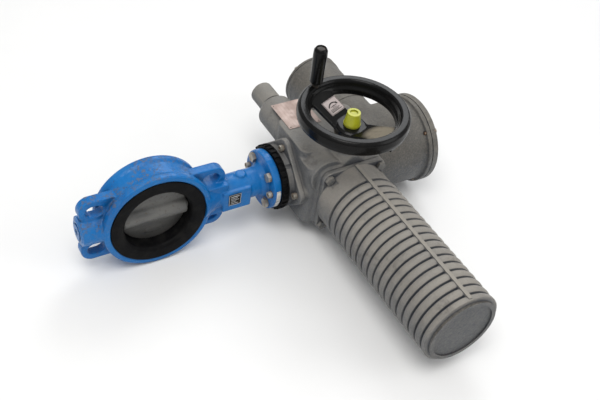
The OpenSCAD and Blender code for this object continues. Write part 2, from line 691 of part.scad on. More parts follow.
module grip_axle() color(zinc) translate([motor_x, hand_y, 0]) rotate([0, 0, grip_angle])
    translate([grip_at, 0, 0]) {
        translate([0, 0, wheel_top - rim_h - 9]) cylinder(r = 6.5, h = 5, $fn = 6);
        translate([0, 0, wheel_top - rim_h - 9]) cylinder(r = 4, h = rim_h + grip_l + 9);
        translate([0, 0, wheel_top]) cylinder(r = 5.5, h = 5.6);
        translate([0, 0, grip_z0 + grip_l - 4]) cylinder(r = 5.5, h = 2.5);
    }

module grip() color(gloss_black) translate([motor_x, hand_y, grip_z0]) rotate([0, 0, grip_angle])
    translate([grip_at, 0, 0]) difference() {
        rotate_extrude() polygon([[0, 0], [8.8, 0], [9.7, 2], [9.5, 14], [10.3, grip_l - 12],
            [9.8, grip_l - 4], [7.5, grip_l], [0, grip_l]]);
        translate([0, 0, -1]) cylinder(r = 4 + run_gap, h = grip_l - 4);
        translate([0, 0, grip_l - 6]) cylinder(r = 6, h = 20);
    }

// ---------- control compartment ----------
module control_housing() color(casting_grey) difference() {
    union() {
        along_x([housing_x1 + 0.2, 0, 0]) cylinder(r = control_r, h = control_x1 - housing_x1 - 0.2);
        along_x([control_x1 - 8, 0, 0]) cylinder(r = cover_r, h = 8);
        intersection() {
            along_y([plug_x, 30, plug_z]) cylinder(r = 46, h = plug_y0 - 30);
            translate([housing_x1 + 0.2, 0, -60]) cube([90, 90, 120]);
        }
    }
    along_x([housing_x1 + 7, 0, 0]) cylinder(r = control_r - 6, h = 140);
    along_x([300, 0, 0]) cylinder(r = 7, h = 80);
    along_y([plug_x + 14, 40, plug_z]) cylinder(r = 22, h = 60);
    for (a = [45 : 90 : 315]) rotate([a, 0, 0]) along_x([control_x1 - 12, 0, control_r + 0.5])
        cylinder(r = 2.55, h = 20);
}

module control_cover() color(casting_grey) difference() {
    union() {
        along_x([control_x1, 0, 0]) cylinder(r = cover_r, h = 9);
        along_x([control_x1 + 9, 0, 0]) cylinder(r1 = control_r - 1, r2 = control_r - 8,
            h = cover_x1 - control_x1 - 9);
    }
    along_x([control_x1 - 1, 0, 0]) cylinder(r = control_r - 12, h = cover_x1 - control_x1 - 5);
    along_x([control_x1, 0, 0]) cylinder(r = 17, h = 30);
    along_x([cover_x1 - 3.5, 0, 0]) cylinder(r = 21.05, h = 30);
    for (a = [45 : 90 : 315]) rotate([a, 0, 0]) along_x([control_x1 - 1, 0, control_r + 0.5]) {
        cylinder(r = 2.7, h = 30);
        translate([0, 0, 7]) cylinder(r = 4.6, h = 30);
    }
}

module cover_screws() color(zinc) for (a = [45 : 90 : 315]) rotate([a, 0, 0])
    along_x([control_x1 + 6, 0, control_r + 0.5]) cap_screw(5, 16);

module sight_glass() color([0.75, 0.82, 0.85]) along_x([cover_x1 - 3.5, 0, 0])
    cylinder(r = 21, h = 3);

module indicator() color(steel) difference() {
    union() {
        along_x([sleeve_x1 - 20, 0, 0]) cylinder(r = 5, h = 449 - sleeve_x1 + 20);
        for (x = [368, 384]) along_x([x, 0, 0]) cylinder(r = 13, h = 8);
        along_x([446, 0, 0]) cylinder(r = 15.5, h = 3);
    }
    for (x = [368, 384]) translate([x - 1, -14, 8]) cube([10, 28, 10]);
    translate([448, -1.5, 2]) cube([3, 3, 12]);
}

module limit_switches() color(dark_grey) {
    for (x = [367, 383]) translate([x, -46, -10]) cube([10, 28, 20]);
    translate([344, -50, -14]) cube([50, 4, 28]);
}

module terminal_board() color([0.85, 0.83, 0.75]) {
    along_y([plug_x, plug_y0 + 10, plug_z]) cylinder(r = plug_r - 8, h = 6);
    for (x = [-24 : 12 : 24]) translate([plug_x + x - 4, plug_y0 + 16, plug_z - 20]) cube([8, 14, 40]);
}

module plug_housing() color(casting_grey) difference() {
    union() {
        along_y([plug_x, plug_y0, plug_z]) cylinder(r1 = plug_r - 3, r2 = plug_r - 1,
            h = plug_y1 - plug_y0);
        along_y([plug_x, plug_y1 - 10, plug_z]) cylinder(r = plug_r, h = 10);
        for (y = [100, 140]) translate([plug_x, y, plug_z - plug_r - 6]) cylinder(r = 15, h = 20);
    }
    along_y([plug_x, plug_y0 + 7, plug_z]) cylinder(r = plug_r - 8, h = 140);
    along_y([plug_x + 14, plug_y0 - 2, plug_z]) cylinder(r = 20, h = 12);
    for (y = [100, 140]) translate([plug_x, y, plug_z - plug_r - 10]) cylinder(r = 12, h = 30);
    for (a = [0 : 90 : 270]) along_y([plug_x, plug_y1 - 16, plug_z]) rotate([0, 0, a + 45])
        translate([plug_r - 5, 0, 0]) cylinder(r = 2.05, h = 30);
}

module plug_cover() color(casting_grey) difference() {
    union() {
        along_y([plug_x, plug_y1, plug_z]) cylinder(r = plug_r, h = 4);
        along_y([plug_x, plug_y1 + 4, plug_z]) cylinder(r1 = plug_r, r2 = plug_r - 5,
            h = plug_end_y - plug_y1 - 4);
    }
    for (a = [0 : 90 : 270]) along_y([plug_x, plug_y1 - 1, plug_z]) rotate([0, 0, a + 45])
        translate([plug_r - 5, 0, 0]) {
            cylinder(r = 2.2, h = 30);
            translate([0, 0, 5]) cylinder(r = 3.8, h = 30);
        }
}

module plug_screws() color(zinc) for (a = [0 : 90 : 270])
    along_y([plug_x, plug_y1 + 4, plug_z]) rotate([0, 0, a + 45]) translate([plug_r - 5, 0, 0])
        cap_screw(4, 14);

module gland_plugs() color(dark_grey) for (y = [100, 140])
    translate([plug_x, y, plug_z - plug_r - 10]) {
        cylinder(r = 14, h = 4);
        cylinder(r = 11.95, h = 16);
    }

valve_body();
liner();
disc();
stem();
disc_pins();
upper_bush();
lower_bush();
stem_seals();
seal_retainer();
bottom_plug();
body_nameplate();
flange_tag();
flange_bolts();
flange_screws();
coupling_ring();
base_flange();
base_screws();
gear_housing();
housing_nameplate();
drive_sleeve();
sleeve_bearings();
worm_wheel();
worm_shaft();
worm();
worm_bearings();
worm_shaft_gear();
idler_gear();
idler_axle();
end_stop_cap();
end_stop_nut();
motor_flange();
motor_housing();
motor_end_cap();
motor_screws();
stator_core();
stator_windings();
rotor();
motor_shaft();
motor_bearings();
motor_pinion();
shaft_bevel_gear();
hand_bevel_gear();
handwheel_shaft();
handwheel_bush();
handwheel();
hub_cap();
direction_label();
grip_axle();
grip();
control_housing();
control_cover();
cover_screws();
sight_glass();
indicator();
limit_switches();
terminal_board();
plug_housing();
plug_cover();
plug_screws();
gland_plugs();
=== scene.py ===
"""Looks of the motorised butterfly valve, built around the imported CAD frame."""

import json
import math

import bpy
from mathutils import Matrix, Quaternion, Vector


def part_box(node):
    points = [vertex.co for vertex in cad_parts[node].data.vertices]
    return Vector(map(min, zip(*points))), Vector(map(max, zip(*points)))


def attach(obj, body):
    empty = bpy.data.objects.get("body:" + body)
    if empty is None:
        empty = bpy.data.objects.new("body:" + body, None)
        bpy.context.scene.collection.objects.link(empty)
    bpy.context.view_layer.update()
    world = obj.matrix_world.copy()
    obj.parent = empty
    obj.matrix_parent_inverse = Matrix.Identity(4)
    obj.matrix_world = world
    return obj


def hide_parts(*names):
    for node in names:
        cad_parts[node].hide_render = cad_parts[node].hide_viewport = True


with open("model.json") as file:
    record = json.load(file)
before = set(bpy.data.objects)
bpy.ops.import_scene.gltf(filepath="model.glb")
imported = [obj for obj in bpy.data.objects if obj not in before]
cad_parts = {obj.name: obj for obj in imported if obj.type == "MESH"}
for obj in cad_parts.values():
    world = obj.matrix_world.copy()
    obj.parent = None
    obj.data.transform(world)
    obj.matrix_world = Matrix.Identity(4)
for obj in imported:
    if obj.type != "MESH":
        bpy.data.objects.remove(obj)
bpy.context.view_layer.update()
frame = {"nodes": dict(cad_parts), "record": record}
NODES = frame["nodes"]
BODY_OF = {n: b for b, ns in frame["record"]["behaviour"]["bodies"].items() for n in ns}

# camera: the direction it looks from, its roll, and the point it looks at
AZIMUTH = math.radians(-35.76)
ELEVATION = math.radians(42.92)
ROLL = math.radians(9.17)
TARGET = Vector((0.2056, -0.0600, -0.0020))
DISTANCE = 1.30
LENS = 53.3
FLOOR_Z = -0.0805

# places that the CAD fixes
WHEEL = (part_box("hub_cap")[0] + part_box("hub_cap")[1]) / 2
GRIP_ANGLE = math.radians(112)
# point on one spoke top where the wheel gets a pale tan patch
SPOKE_PATCH = Vector((WHEEL.x - 0.045 * math.cos(GRIP_ANGLE),
                      WHEEL.y - 0.045 * math.sin(GRIP_ANGLE), 0.130))
MOTOR_TOP = Vector((WHEEL.x, 0.0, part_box("motor_housing")[1].z))


# ---------- materials ----------
class Look:
    """A Principled material with short helpers for building masks and colours in object space."""

    def __init__(self, name, roughness=0.5, metallic=0.0, specular=0.5, coat=0.0):
        self.mat = bpy.data.materials.new(name)
        self.mat.use_nodes = True
        self.tree = self.mat.node_tree
        self.tree.nodes.clear()
        out = self.node("OutputMaterial")
        self.bsdf = self.node("BsdfPrincipled")
        self.link(self.bsdf.outputs["BSDF"], out.inputs["Surface"])
        self.bsdf.inputs["Roughness"].default_value = roughness
        self.bsdf.inputs["Metallic"].default_value = metallic
        self.bsdf.inputs["Specular IOR Level"].default_value = specular
        self.bsdf.inputs["Coat Weight"].default_value = coat
        self.bsdf.inputs["Coat Roughness"].default_value = 0.15
        self.coord = self.node("TexCoord")
        self.bump_in = None

    def node(self, kind, **settings):
        n = self.tree.nodes.new("ShaderNode" + kind)
        for key, value in settings.items():
            setattr(n, key, value)
        return n

    def link(self, a, b):
        self.tree.links.new(a, b)

    def feed(self, socket, value):
        if isinstance(value, bpy.types.NodeSocket):
            self.link(value, socket)
        else:
            socket.default_value = value

    def vector(self, stretch=(1, 1, 1)):
        m = self.node("Mapping")
        m.inputs["Scale"].default_value = stretch
        self.link(self.coord.outputs["Object"], m.inputs["Vector"])
        return m.outputs["Vector"]

    def range(self, value, lo, hi, to_lo=0.0, to_hi=1.0):
        r = self.node("MapRange", interpolation_type="SMOOTHSTEP")
        self.feed(r.inputs["Value"], value)
        for key, v in (("From Min", lo), ("From Max", hi), ("To Min", to_lo), ("To Max", to_hi)):
            r.inputs[key].default_value = v
        return r.outputs["Result"]

    def noise(self, scale, lo=0.35, hi=0.65, detail=4.0, rough=0.55, stretch=(1, 1, 1), seed=0.0):
        n = self.node("TexNoise", noise_dimensions="4D")
        self.link(self.vector(stretch), n.inputs["Vector"])
        n.inputs["Scale"].default_value = scale
        n.inputs["Detail"].default_value = detail
        n.inputs["Roughness"].default_value = rough
        n.inputs["W"].default_value = seed
        return self.range(n.outputs["Fac"], lo, hi)

    def spots(self, scale, size, seed=0.0):
        """Scattered round specks: 1 inside a speck, 0 outside."""
        v = self.node("TexVoronoi", voronoi_dimensions="4D")
        self.link(self.vector(), v.inputs["Vector"])
        v.inputs["Scale"].default_value = scale
        v.inputs["W"].default_value = seed
        return self.range(v.outputs["Distance"], size, size * 0.55)

    def axis(self, which, lo, hi):
        """Smooth ramp along one object axis between two places."""
        s = self.node("SeparateXYZ")
        self.link(self.coord.outputs["Object"], s.inputs["Vector"])
        return self.range(s.outputs[which], lo, hi)

    def near(self, point, full, gone):
        """1 within the full radius of a point, 0 beyond the gone radius."""
        d = self.node("VectorMath", operation="DISTANCE")
        self.link(self.coord.outputs["Object"], d.inputs[0])
        d.inputs[1].default_value = point
        return self.range(d.outputs["Value"], gone, full)

    def facing(self, which, lo, hi):
        """Smooth ramp over one component of the object-space normal."""
        s = self.node("SeparateXYZ")
        self.link(self.coord.outputs["Normal"], s.inputs["Vector"])
        return self.range(s.outputs[which], lo, hi)

    def crevice(self, distance, lo=0.45, hi=0.95):
        """1 in recesses, 0 on open surfaces."""
        a = self.node("AmbientOcclusion", samples=8)
        a.inputs["Distance"].default_value = distance
        return self.range(a.outputs["AO"], hi, lo)

    def edge(self, lo=0.515, hi=0.560):
        """1 on convex edges of a dense mesh."""
        return self.range(self.node("NewGeometry").outputs["Pointiness"], lo, hi)

    def math(self, op, a, b=0.0):
        n = self.node("Math", operation=op, use_clamp=True)
        self.feed(n.inputs[0], a)
        self.feed(n.inputs[1], b)
        return n.outputs[0]

    def times(self, a, b):
        return self.math("MULTIPLY", a, b)

    def plus(self, a, b):
        return self.math("ADD", a, b)

    def flip(self, a):
        return self.math("SUBTRACT", 1.0, a)

    def scaled(self, value, factor):
        """A product that isn't held between 0 and 1."""
        n = self.node("Math", operation="MULTIPLY")
        self.feed(n.inputs[0], value)
        n.inputs[1].default_value = factor
        return n.outputs[0]

    def mix(self, fac, a, b):
        n = self.node("Mix", data_type="RGBA")
        self.feed(n.inputs[0], fac)
        for i, c in ((6, a), (7, b)):
            self.feed(n.inputs[i], c if isinstance(c, bpy.types.NodeSocket) else (*c, 1.0))
        return n.outputs[2]

    def colour(self, value):
        self.feed(self.bsdf.inputs["Base Color"],
                  value if isinstance(value, bpy.types.NodeSocket) else (*value, 1.0))

    def roughness(self, fac, lo, hi):
        self.link(self.range(fac, 0.0, 1.0, lo, hi), self.bsdf.inputs["Roughness"])

    def bump(self, height, distance, strength=1.0):
        b = self.node("Bump")
        b.inputs["Strength"].default_value = strength
        b.inputs["Distance"].default_value = distance
        self.feed(b.inputs["Height"], height)
        if self.bump_in is not None:
            self.link(self.bump_in, b.inputs["Normal"])
        self.bump_in = b.outputs["Normal"]
        self.link(self.bump_in, self.bsdf.inputs["Normal"])


def grey_casting(name, light=(0.215, 0.207, 0.190), dark=(0.140, 0.142, 0.146), dust=0.4, recess_shade=0.55,
                 reach=0.018, deep=(0.036, 0.040, 0.052), bead=None):
    """Silver-grey paint on a sand casting, with dust on top, painted shade on the steep sides and
    painted shade in the recesses.
    """
    k = Look(name, specular=0.3)
    cloud = k.noise(14, 0.3, 0.7, detail=5)
    base = k.mix(cloud, dark, light)
    # painted shade: steep sides are darkened towards a bluish grey, so the tops read lighter
    side_shade = k.flip(k.facing("Z", -0.1, 0.55))
    base = k.mix(k.times(side_shade, 0.65), base, (0.072, 0.084, 0.100))
    powder = k.times(k.times(k.facing("Z", 0.2, 0.95), k.noise(32, 0.30, 0.72, seed=2.0)), dust)
    base = k.mix(powder, base, (0.235, 0.222, 0.195))
    fine = k.noise(420, 0.35, 0.75, detail=3, seed=5.0)
    base = k.mix(k.times(fine, 0.30), base, (0.29, 0.262, 0.215))
    stain = k.times(k.noise(19, 0.50, 0.70, detail=6, rough=0.7, seed=14.0),
                    k.noise(130, 0.40, 0.62, seed=15.0))
    base = k.mix(k.times(stain, 0.55), base, (0.062, 0.056, 0.050))
    chips = k.times(k.spots(110, 0.16, seed=3.0), k.noise(24, 0.55, 0.68, seed=9.0))
    base = k.mix(k.times(chips, 0.6), base, (0.085, 0.060, 0.045))
    worn = k.times(k.edge(), k.noise(75, 0.38, 0.60, detail=5, seed=12.0))
    if bead:
        # scuffed crest of the long bar at this x and height
        left = k.axis("X", bead.x - 0.0045, bead.x - 0.0030)
        right = k.flip(k.axis("X", bead.x + 0.0030, bead.x + 0.0045))
        crest = k.times(k.times(left, right), k.axis("Z", bead.z - 0.0030, bead.z - 0.0010))
        worn = k.plus(worn, k.times(crest, k.noise(85, 0.25, 0.65, detail=5, seed=13.0)))
    base = k.mix(k.times(worn, 0.45), base, (0.30, 0.275, 0.235))
    # painted shade: the recesses are darkened towards the dark bluish deep colour
    base = k.mix(k.times(k.crevice(reach), recess_shade), base, deep)
    k.colour(base)
    k.roughness(k.plus(k.times(cloud, 0.4), k.times(powder, 0.8)), 0.42, 0.80)
    k.bump(k.noise(260, 0.2, 0.8, detail=5, rough=0.65), 0.0008, 0.7)
    k.bump(k.noise(38, 0.2, 0.8, detail=2, seed=4.0), 0.0018, 0.45)
    return k.mat


def blue_epoxy(name):
    """Blue paint on a casting, with rust specks and dirt that gather on top of the ring, and painted
    shade in the recesses.
    """
    k = Look(name, specular=0.26, coat=0.06)
    base = k.mix(k.noise(16, 0.3, 0.7), (0.002, 0.116, 0.370), (0.003, 0.152, 0.450))
    upper = k.plus(k.facing("Z", 0.0, 0.9), 0.15)
    haze = k.times(k.noise(48, 0.42, 0.72, detail=6, seed=1.0), upper)
    base = k.mix(k.times(haze, 0.22), base, (0.09, 0.20, 0.34))
    ring = k.flip(k.axis("X", 0.035, 0.075))
    specks = k.times(k.noise(420, 0.58, 0.66, detail=2, seed=2.0), k.noise(45, 0.46, 0.58, seed=4.0))
    specks = k.times(specks, k.plus(k.times(ring, upper), 0.12))
    base = k.mix(k.times(specks, 0.8), base, (0.050, 0.034, 0.026))
    crust = k.times(k.noise(210, 0.49, 0.59, detail=6, seed=6.0), k.noise(26, 0.40, 0.56, seed=11.0))
    crust = k.times(k.times(crust, ring), upper)
    base = k.mix(k.times(crust, 0.6), base, (0.13, 0.120, 0.105))
    worn = k.times(k.edge(), k.noise(90, 0.50, 0.62, detail=5, seed=12.0))
    base = k.mix(k.times(worn, 0.5), base, (0.090, 0.075, 0.065))
    # painted shade: the recesses are darkened towards a deep blue
    base = k.mix(k.times(k.crevice(0.012), 0.55), base, (0.005, 0.024, 0.070))
    k.colour(base)
    k.roughness(k.plus(k.times(haze, 0.5), crust), 0.30, 0.75)
    k.bump(k.noise(180, 0.2, 0.8, detail=4), 0.0008, 0.6)
    k.bump(k.noise(42, 0.2, 0.8, detail=2, seed=4.0), 0.0016, 0.5)
    k.bump(crust, 0.0005, 0.7)
    return k.mat


def metal(name, light, dark, roughness=(0.28, 0.5), rust=0.0, metallic=0.9, scale=60):
    """Bare or plated metal. Rust spreads in patches and from the recesses."""
    k = Look(name, metallic=metallic)
    cloud = k.noise(scale, 0.3, 0.7, detail=5)
    base = k.mix(cloud, dark, light)
    if rust:
        spread = k.plus(k.times(k.noise(90, 0.50, 0.66, detail=6, seed=3.0), rust),
                        k.times(k.crevice(0.004), rust * 0.8))
        base = k.mix(spread, base, (0.15, 0.075, 0.035))
        k.link(k.range(spread, 0.0, 1.0, metallic, 0.1), k.bsdf.inputs["Metallic"])
    k.colour(base)
    k.roughness(cloud, *roughness)
    k.bump(k.noise(500, 0.2, 0.8, detail=3, seed=2.0), 0.0002, 0.4)
    return k.mat


def disc_steel(name):
    """Cast disc with dull dusty paint, wiped streaks, and painted shade that darkens its lower part."""
    k = Look(name, metallic=0.35)
    cloud = k.noise(22, 0.3, 0.7, detail=6)
    base = k.mix(cloud, (0.095, 0.096, 0.094), (0.165, 0.164, 0.158))
    streak = k.noise(30, 0.40, 0.70, detail=5, stretch=(0.4, 1, 3.0), seed=3.0)
    base = k.mix(k.times(streak, 0.5), base, (0.20, 0.195, 0.18))
    base = k.mix(k.times(k.noise(240, 0.55, 0.70, detail=4, seed=5.0), 0.6), base, (0.09, 0.07, 0.05))
    # painted shade: the lower part of the disc is darkened almost to black
    low = k.times(k.flip(k.axis("Z", -0.034, 0.004)), 0.75)
    base = k.mix(low, base, (0.022, 0.021, 0.020))
    k.colour(base)
    k.roughness(cloud, 0.42, 0.66)
    k.bump(k.noise(200, 0.2, 0.8, detail=4), 0.0005, 0.5)
    return k.mat


def rubber(name):
    """Dull black rubber with a little dust."""
    k = Look(name, specular=0.07)
    dusty = k.times(k.noise(60, 0.42, 0.75, detail=5), 0.4)
    base = k.mix(dusty, (0.0035, 0.0035, 0.004), (0.024, 0.023, 0.021))
    k.colour(base)
    k.roughness(dusty, 0.52, 0.82)
    k.bump(k.noise(300, 0.2, 0.8, detail=3), 0.0003, 0.5)
    return k.mat


def gloss_black(name, dusty_low=None, pale_spot=None):
    """Glossy black plastic; dust gathers below the given height, and one open patch on upward faces is
    made pale tan and rougher.
    """
    k = Look(name, specular=0.14, coat=0.03)
    smear = k.noise(26, 0.54, 0.84, detail=6)
    base = k.mix(k.times(smear, 0.25), (0.004, 0.004, 0.004), (0.028, 0.026, 0.023))
    film = k.times(smear, 0.4)
    if dusty_low:
        low = k.flip(k.axis("Z", *dusty_low))
        powder = k.times(low, k.noise(40, 0.25, 0.60, detail=6, seed=3.0))
        powder = k.times(powder, k.plus(k.facing("Z", -0.3, 0.8), 0.25))
        base = k.mix(k.times(powder, 0.8), base, (0.150, 0.125, 0.092))
        film = k.plus(film, powder)
    if pale_spot:
        # a pale tan, rougher patch on the upward faces around one point of a spoke
        patch = k.times(k.near(pale_spot, 0.016, 0.030), k.facing("Z", 0.75, 0.95))
        patch = k.times(patch, k.noise(70, 0.22, 0.48, detail=6, seed=6.0))
        base = k.mix(k.times(patch, 0.85), base, (0.235, 0.205, 0.155))
        film = k.plus(film, patch)
    specks = k.times(k.spots(160, 0.14, seed=1.0), k.noise(30, 0.52, 0.64, seed=8.0))
    base = k.mix(k.times(specks, 0.7), base, (0.20, 0.18, 0.15))
    k.colour(base)
    k.roughness(film, 0.24, 0.72)
    k.bump(k.noise(140, 0.2, 0.8, detail=3), 0.0003, 0.4)
    return k.mat


def yellow_plastic(name):
    """Moulded yellow plastic with dirt, and painted shade in its recess."""
    k = Look(name, specular=0.5)
    base = k.mix(k.noise(60, 0.3, 0.7), (0.360, 0.375, 0.009), (0.430, 0.440, 0.018))
    dirt = k.times(k.noise(180, 0.50, 0.74, detail=6, seed=2.0), 0.55)
    base = k.mix(dirt, base, (0.20, 0.19, 0.045))
    # painted shade: the recess is darkened towards a dull dark yellow
    base = k.mix(k.times(k.crevice(0.006), 0.7), base, (0.20, 0.20, 0.02))
    k.colour(base)
    k.roughness(dirt, 0.36, 0.65)
    k.bump(k.noise(220, 0.2, 0.8), 0.0003, 0.4)
    return k.mat


def printed_plate(name, paper, ink, axis_name, pitch, amount, rough=0.4, metallic=0.0):
    """A thin plate with faint generic ruled lines and stains."""
    k = Look(name, metallic=metallic)
    s = k.node("SeparateXYZ")
    k.link(k.coord.outputs["Object"], s.inputs["Vector"])
    wave = k.node("Math", operation="SINE")
    k.link(k.scaled(s.outputs[axis_name], 2 * math.pi / pitch), wave.inputs[0])
    rule = k.times(k.range(wave.outputs[0], 0.55, 0.80), k.noise(150, 0.38, 0.52, seed=2.0))
    base = k.mix(k.noise(40, 0.3, 0.7), paper, tuple(0.82 * c for c in paper))
    base = k.mix(k.times(rule, amount), base, ink)
    base = k.mix(k.times(k.noise(70, 0.52, 0.72, detail=6, seed=5.0), 0.45), base,
                 tuple(0.45 * c for c in paper))
    k.colour(base)
    k.roughness(k.noise(80), rough, rough + 0.25)
    k.bump(k.noise(300, 0.2, 0.8), 0.0002, 0.4)
    return k.mat


def glass(name):
    """Clear window with faint smears."""
    k = Look(name, roughness=0.06, specular=0.5)
    k.colour(k.mix(k.noise(60), (0.62, 0.68, 0.70), (0.75, 0.80, 0.82)))
    k.bsdf.inputs["Transmission Weight"].default_value = 0.9
    k.bsdf.inputs["IOR"].default_value = 1.45
    k.roughness(k.noise(90, seed=3.0), 0.04, 0.22)
    k.bump(k.noise(60), 0.0001, 0.3)
    return k.mat


def floor_look(name):
    """Plain pale studio floor."""
    k = Look(name, roughness=0.7, specular=0.2)
    k.colour(k.mix(k.noise(3, 0.3, 0.7), (0.80, 0.80, 0.80), (0.83, 0.83, 0.825)))
    return k.mat


GREY = grey_casting("grey_casting")
# the motor gets stronger bluish painted shade in the grooves between its fins
GREY_MOTOR = grey_casting("grey_motor", light=(0.265, 0.248, 0.225), dark=(0.185, 0.176, 0.165),
                          recess_shade=0.75, reach=0.004, deep=(0.062, 0.074, 0.098), bead=MOTOR_TOP)
GREY_DARK = grey_casting("dark_grey", light=(0.062, 0.058, 0.052), dark=(0.030, 0.028, 0.026), dust=0.2)
BLUE = blue_epoxy("blue_epoxy")
RUBBER = rubber("rubber")
DISC = disc_steel("disc_steel")
STEEL = metal("steel", (0.55, 0.54, 0.52), (0.36, 0.35, 0.34))
ZINC = metal("zinc", (0.52, 0.49, 0.43), (0.28, 0.26, 0.22), (0.32, 0.58), rust=0.65, metallic=0.7)
BRONZE = metal("bronze", (0.55, 0.36, 0.15), (0.38, 0.23, 0.09))
COPPER = metal("copper_wire", (0.62, 0.28, 0.12), (0.42, 0.17, 0.07), scale=200)
BLACK_WHEEL = gloss_black("wheel_black", dusty_low=(0.096, 0.107), pale_spot=SPOKE_PATCH)
PLASTIC = gloss_black("dark_plastic")
YELLOW = yellow_plastic("yellow_plastic")
PLATE = printed_plate("housing_plate", (0.42, 0.315, 0.275), (0.22, 0.15, 0.13), "X", 0.0055, 0.25,
                      rough=0.38, metallic=0.2)
LABEL = printed_plate("label", (0.42, 0.36, 0.35), (0.12, 0.09, 0.09), "X", 0.0028, 0.0)
INK = rubber("print_ink")
BOLT_GREY = grey_casting("painted_bolt", light=(0.20, 0.195, 0.18), dark=(0.11, 0.11, 0.11), reach=0.004)
BLACK_GRIP = gloss_black("grip_black")
DARK_STEEL = metal("dark_steel", (0.045, 0.040, 0.036), (0.018, 0.016, 0.014), (0.45, 0.7),
                   rust=0.25, metallic=0.3)
# painted shade: a much darker copy of the grey casting for the control and plug housings
GREY_SHADED = grey_casting("grey_shaded", light=(0.108, 0.101, 0.089), dark=(0.070, 0.069, 0.068), dust=0.25)
TAG = printed_plate("tag", (0.70, 0.69, 0.66), (0.08, 0.08, 0.08), "Y", 0.0016, 0.8)
NAME_BLACK = gloss_black("name_black")
SILVER = metal("silver_print", (0.60, 0.60, 0.60), (0.42, 0.42, 0.42), metallic=0.6)
BOARD = printed_plate("board", (0.72, 0.69, 0.58), (0.3, 0.3, 0.25), "Z", 0.01, 0.3)
GLASS = glass("window_glass")

LOOK_OF = {
    "valve_body": BLUE, "bottom_plug": BLUE, "liner": RUBBER, "stem_seals": RUBBER, "disc": DISC,
    "upper_bush": BRONZE, "lower_bush": BRONZE, "sleeve_bearings": BRONZE, "worm_wheel": BRONZE,
    "end_stop_nut": BRONZE, "handwheel_bush": BRONZE, "stator_windings": COPPER,
    "body_nameplate": NAME_BLACK, "flange_tag": TAG, "housing_nameplate": PLATE,
    "direction_label": LABEL, "coupling_ring": RUBBER, "handwheel": BLACK_WHEEL, "grip": BLACK_GRIP,
    "hub_cap": YELLOW, "sight_glass": GLASS, "limit_switches": PLASTIC, "gland_plugs": PLASTIC,
    "terminal_board": BOARD, "motor_end_cap": GREY_DARK, "stator_core": GREY_DARK,
    "motor_housing": GREY_MOTOR, "motor_flange": GREY, "motor_screws": BOLT_GREY,
}
for n in ("flange_bolts", "flange_screws", "base_screws", "cover_screws",
          "plug_screws", "seal_retainer", "disc_pins"):
    LOOK_OF[n] = ZINC
LOOK_OF["grip_axle"] = DARK_STEEL
for n in ("gear_housing", "base_flange", "end_stop_cap"):
    LOOK_OF[n] = GREY
for n in ("control_housing", "control_cover", "plug_housing", "plug_cover"):
    LOOK_OF[n] = GREY_SHADED
for name, node in NODES.items():
    look = LOOK_OF.get(name, STEEL)
    node.data.materials.clear()
    node.data.materials.append(look)


# ---------- geometry helpers ----------
WELD_DISTANCE = 2e-6
SHARP_ANGLE = math.radians(32)
SMOOTH_FACTOR = 0.5
PRINT_THICK = 0.00008
PRINT_LIFT = 0.00002
FLOOR_HALF = 6.0


def soften(obj, width):
    """Rounds the sharp edges of a CAD node with modifiers only."""
    w = obj.modifiers.new("weld", "WELD")
    w.merge_threshold = WELD_DISTANCE
    b = obj.modifiers.new("bevel", "BEVEL")
    b.width = width
    b.segments = 2
    b.limit_method = "ANGLE"
    b.angle_limit = SHARP_ANGLE
    b.use_clamp_overlap = True
    b.harden_normals = False
    n = obj.modifiers.new("normals", "WEIGHTED_NORMAL")
    n.keep_sharp = False
    n.weight = 80


def finished(mesh, name, look, body, replaced=()):
    """Links a new mesh into the scene with its look, hides the CAD nodes it replaces, and ties it to its
    CAD body.
    """
    obj = bpy.data.objects.new(name, mesh)
    bpy.context.scene.collection.objects.link(obj)
    mesh.materials.clear()
    mesh.materials.append(look)
    if replaced:
        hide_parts(*replaced)
    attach(obj, body)
    return obj


def cast(node, voxel, rounds):
    """A copy of a CAD node with cast fillets: voxel remesh, then smoothing."""
    source = NODES[node]
    temp = bpy.data.objects.new("temp", source.data.copy())
    bpy.context.scene.collection.objects.link(temp)
    r = temp.modifiers.new("remesh", "REMESH")
    r.mode = "VOXEL"
    r.voxel_size = voxel
    r.use_smooth_shade = True
    s = temp.modifiers.new("smooth", "SMOOTH")
    s.factor = SMOOTH_FACTOR
    s.iterations = rounds
    dg = bpy.context.evaluated_depsgraph_get()
    mesh = bpy.data.meshes.new_from_object(temp.evaluated_get(dg))
    bpy.data.objects.remove(temp)
    mesh.polygons.foreach_set("use_smooth", [True] * len(mesh.polygons))
    return finished(mesh, node + "_cast", LOOK_OF[node], BODY_OF[node], (node,))


def mesh_from(verts, faces, smooth=True):
    """A mesh from plain points and faces."""
    mesh = bpy.data.meshes.new("piece")
    mesh.from_pydata([Vector(v) for v in verts], [], faces)
    mesh.polygons.foreach_set("use_smooth", [smooth] * len(mesh.polygons))
    return mesh


# ---------- castings ----------
# node: (voxel size, smoothing rounds)
CASTINGS = {
    "gear_housing": (0.0014, 7), "valve_body": (0.0012, 4), "handwheel": (0.0011, 4),
    "control_housing": (0.0016, 4), "plug_housing": (0.0016, 4), "motor_flange": (0.0012, 4),
    "disc": (0.0010, 4), "base_flange": (0.0009, 3),
}
for name, (voxel, rounds) in CASTINGS.items():
    cast(name, voxel, rounds)


